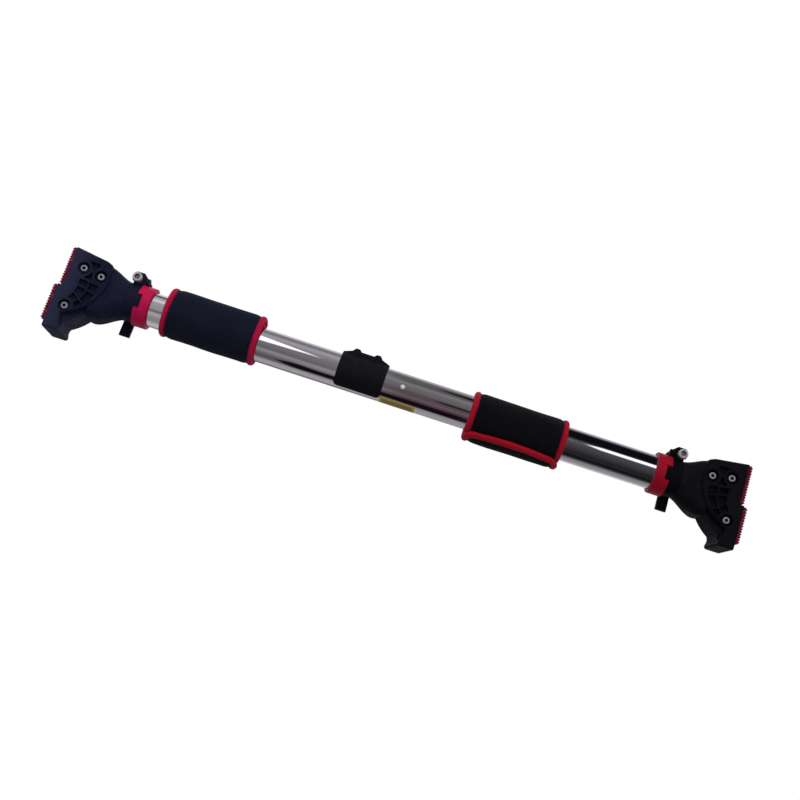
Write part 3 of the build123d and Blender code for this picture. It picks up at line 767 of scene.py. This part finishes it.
def photo_camera(lens, distance, azimuth, elevation, roll, target):
    """The photo's camera: it looks up at the bar a little, and the bar lies across its corners."""
    a, e, tilt = radians(azimuth), radians(elevation), radians(roll)
    back = Vector((sin(a) * cos(e), -cos(a) * cos(e), sin(e)))
    right = (-back).cross(Vector((0, 0, 1))).normalized()
    up = right.cross(-back)
    across = right * cos(tilt) + up * sin(tilt)
    upward = up * cos(tilt) - right * sin(tilt)
    data = bpy.data.cameras.new("camera")
    data.lens = lens
    data.sensor_width = SENSOR
    camera = bpy.data.objects.new("camera", data)
    bpy.context.scene.collection.objects.link(camera)
    turned = Matrix((across, upward, back)).transposed().to_4x4()
    camera.matrix_world = Matrix.Translation(Vector(target) + back * distance) @ turned
    bpy.context.scene.camera = camera


photo_camera(**CAMERA)


# ------------------------------------------------------------------ studio

FLOOR_Z = -1.4
FLOOR_REACH = 10.0
WHITE_GLOW = 1.06           # strength of the floor's glow to the camera,
GLOW_SHARE = 0.93           # and its share of what the camera sees
FROM_CAMERA, FROM_GLOSS = 0, 3      # outputs of a light path node


def floor():
    """A floor far below the part, white to the camera and grey to everything else."""
    mesh = bpy.data.meshes.new("floor")
    corners = [(x * FLOOR_REACH, y * FLOOR_REACH, FLOOR_Z)
               for x, y in ((-1, -1), (1, -1), (1, 1), (-1, 1))]
    mesh.from_pydata(corners, [], [(0, 1, 2, 3)])
    material, r = finish_named("studio_floor")
    mottle = r.mix(r.noise(3.0), (0.5, 0.5, 0.5), (0.53, 0.53, 0.53))
    paint_coat = r.node("ShaderNodeBsdfDiffuse", sockets={"Color": mottle})
    glow = r.node("ShaderNodeEmission", sockets={"Color": (1, 1, 1, 1), "Strength": WHITE_GLOW})
    seen = r.node("ShaderNodeLightPath", output=FROM_CAMERA)
    shader = r.node("ShaderNodeMixShader", sockets={0: seen * GLOW_SHARE, 1: paint_coat, 2: glow})
    r.node("ShaderNodeOutputMaterial", sockets={"Surface": shader})
    mesh.materials.append(material)
    piece = bpy.data.objects.new("floor", mesh)
    bpy.context.scene.collection.objects.link(piece)
    piece.visible_glossy = False


def lamp(name, place, size, power):
    """A soft box aimed at the middle of the part."""
    data = bpy.data.lights.new(name, "AREA")
    data.shape = "RECTANGLE"
    data.size, data.size_y = size
    data.energy = power
    piece = bpy.data.objects.new(name, data)
    bpy.context.scene.collection.objects.link(piece)
    piece.location = place
    piece.rotation_mode = "QUATERNION"
    piece.rotation_quaternion = (-Vector(place)).to_track_quat("-Z", "Y")
    piece.visible_glossy = False


CHROME_SHARE = 0.78         # light the tube gives back of what it mirrors
SHADOW = srgb(20, 15, 22)
GROUND = srgb(46, 44, 50)
OPEN_LIGHT = (1.5, 1.46, 1.56)
PLAIN_LIGHT = (0.44, 0.445, 0.47)

# What the tube mirrors round it, left, in the middle and right: a tint, and then (turn, tone),
# with the turn in degrees round the bar: 0 is in front, 90 overhead, -90 below and 180 behind.
LEFT_BANDS = (1.0, 0.98, 1.015), (
    (-180, 84), (-165, 84), (-146, 132), (-130, 157), (-108, 150), (-98, 132), (-92, 94),
    (-75, 84), (-60, 96), (-46, 124), (-33, 138), (-26, 112), (-19, 97), (-6, 105), (8, 112),
    (22, 114), (36, 124), (50, 140), (66, 160), (75, 150), (84, 126), (98, 114), (108, 122),
    (120, 182), (140, 206), (180, 200))
MIDDLE_BANDS = (1.0, 0.975, 1.005), (
    (-180, 140), (-165, 148), (-130, 146), (-108, 144), (-96, 120), (-88, 66), (-74, 44),
    (-60, srgb(66, 50, 58)), (-46, srgb(92, 74, 82)), (-34, srgb(116, 98, 104)),
    (-26, srgb(96, 78, 84)), (-6, srgb(92, 84, 88)), (8, 94), (22, 101), (36, 104), (49, 122),
    (56, 100), (66, 82), (84, 88), (104, 92), (118, 150), (140, 172), (180, 180))
RIGHT_BANDS = (1.0, 0.975, 1.06), (
    (-180, srgb(216, 213, 216)), (-165, srgb(212, 209, 212)), (-130, srgb(158, 154, 159)),
    (-108, srgb(148, 144, 150)), (-99, 104), (-92, 62), (-82, 22), (-70, 20), (-60, 37),
    (-46, 33), (-32, 47), (-19, 56), (-6, 65), (8, 69), (22, 86), (36, 74), (46, 12),
    (100, 14), (112, 90), (126, 160), (140, 184), (180, 190))


def tone(level, tint):
    """A tone as it is seen on the tube, as the strength of what the tube mirrors."""
    return tuple(share / CHROME_SHARE for share in srgb(*(level * part for part in tint)))


def studio_world():
    """White to the camera, even light on the part, and a studio's light and dark in its gloss."""
    world = bpy.data.worlds.new("studio")
    bpy.context.scene.world = world
    world.use_nodes = True
    r = Recipe(world.node_tree)
    x, y, z = r.split(r.node("ShaderNodeTexCoord", output=0))
    turn = z.angle_from(y * -1.0) / (2 * pi) + 0.5

    def bands(tint, tones):
        stops = [((place + 180) / 360, level if isinstance(level, tuple) else tone(level, tint))
                 for place, level in tones]
        return r.node("ShaderNodeValToRGB", {"stops": stops}, {0: turn})

    def strip(place, half, soft):
        """A soft-edged strip along the bar: its turn round it, half width and softness, in degrees."""
        return (abs(turn - (place + 180) / 360) * -360.0 + half).rise(-soft, soft)

    left, middle, right = bands(*LEFT_BANDS), bands(*MIDDLE_BANDS), bands(*RIGHT_BANDS)
    to_middle = r.mix(x.rise(-0.075, -0.008), left, middle)
    to_right = r.mix(x.rise(0.055, 0.115), to_middle, right)

    # Shadows in the middle: the ground's, one along the front and one on top.
    reach = x.rise(-0.14, -0.113, -5.0, 17.0) + x.rise(-0.11, -0.09, 0.0, -3.0)
    reach = reach + x.rise(-0.03, 0.0, 0.0, 2.0)
    shade = strip(-75.0, reach, 4.0) * x.rise(0.035, 0.075, 1.0, 0.0)
    ledge = strip(-9.0, 6.0, 4.0) * x.rise(0.013, 0.023) * x.rise(0.045, 0.085, 1.0, 0.0)
    cornice = strip(83.0, x * 150.0 + 3.0, 4.0) * x.rise(0.012, 0.026) * x.rise(0.055, 0.115, 1.0, 0.0)
    shaded = r.mix(shade.top(ledge * 0.9).top(cornice), to_right, SHADOW)

    # Lights: a window that slants across the left, what comes in beside it, and a lamp at the right.
    window = strip(x * -100.0 + 19.7, x * -300.0 - 28.4, 3.0) * x.rise(-0.215, -0.18)
    skylight = strip(56.0, 9.0, 5.0) * x.rise(-0.215, -0.195, 0.35, 0.0)
    porch = x.rise(-0.235, -0.215, 0.12, 0.0)
    bulb = strip(29.0, x * 600.0 - 91.0, 3.0).low(strip(29.0, 9.5, 3.0)) * x.rise(0.15, 0.16)
    lit = r.mix(window.top(bulb).top(skylight).top(porch), shaded, OPEN_LIGHT)

    # Dark bars at the far left, and quiet surroundings for the heads past both ends of the tube.
    bars = strip(103.0, 9.0, 5.0).top(strip(-16.0, 8.0, 6.0) * 0.6)
    bars = bars.top(strip(-165.0, 10.0, 5.0) * 0.6) * x.rise(-0.23, -0.2, 0.75, 0.0)
    barred = r.mix(bars, lit, SHADOW)
    grounded = r.mix(strip(-88.0, 36.0, 12.0), left, GROUND)
    mirrored = r.mix(abs(x).rise(0.265, 0.3), barred, grounded)

    seen = r.node("ShaderNodeLightPath", output=FROM_CAMERA)
    glossy = r.node("ShaderNodeLightPath", output=FROM_GLOSS)
    plain = r.mix(seen, PLAIN_LIGHT, (1.0, 1.0, 1.0))
    colour = r.mix(glossy, plain, mirrored)
    background = r.node("ShaderNodeBackground", sockets={"Color": colour, "Strength": 1.0})
    r.node("ShaderNodeOutputWorld", sockets={"Surface": background})


floor()
lamp("key", place=(-0.5, -1.3, 1.1), size=(1.6, 1.0), power=12.0)
lamp("fill", place=(1.1, -1.4, 0.1), size=(1.2, 1.2), power=3.0)
lamp("rim", place=(0.0, 1.2, 1.0), size=(1.8, 0.6), power=5.0)
studio_world()
bpy.context.scene.view_settings.view_transform = "Standard"
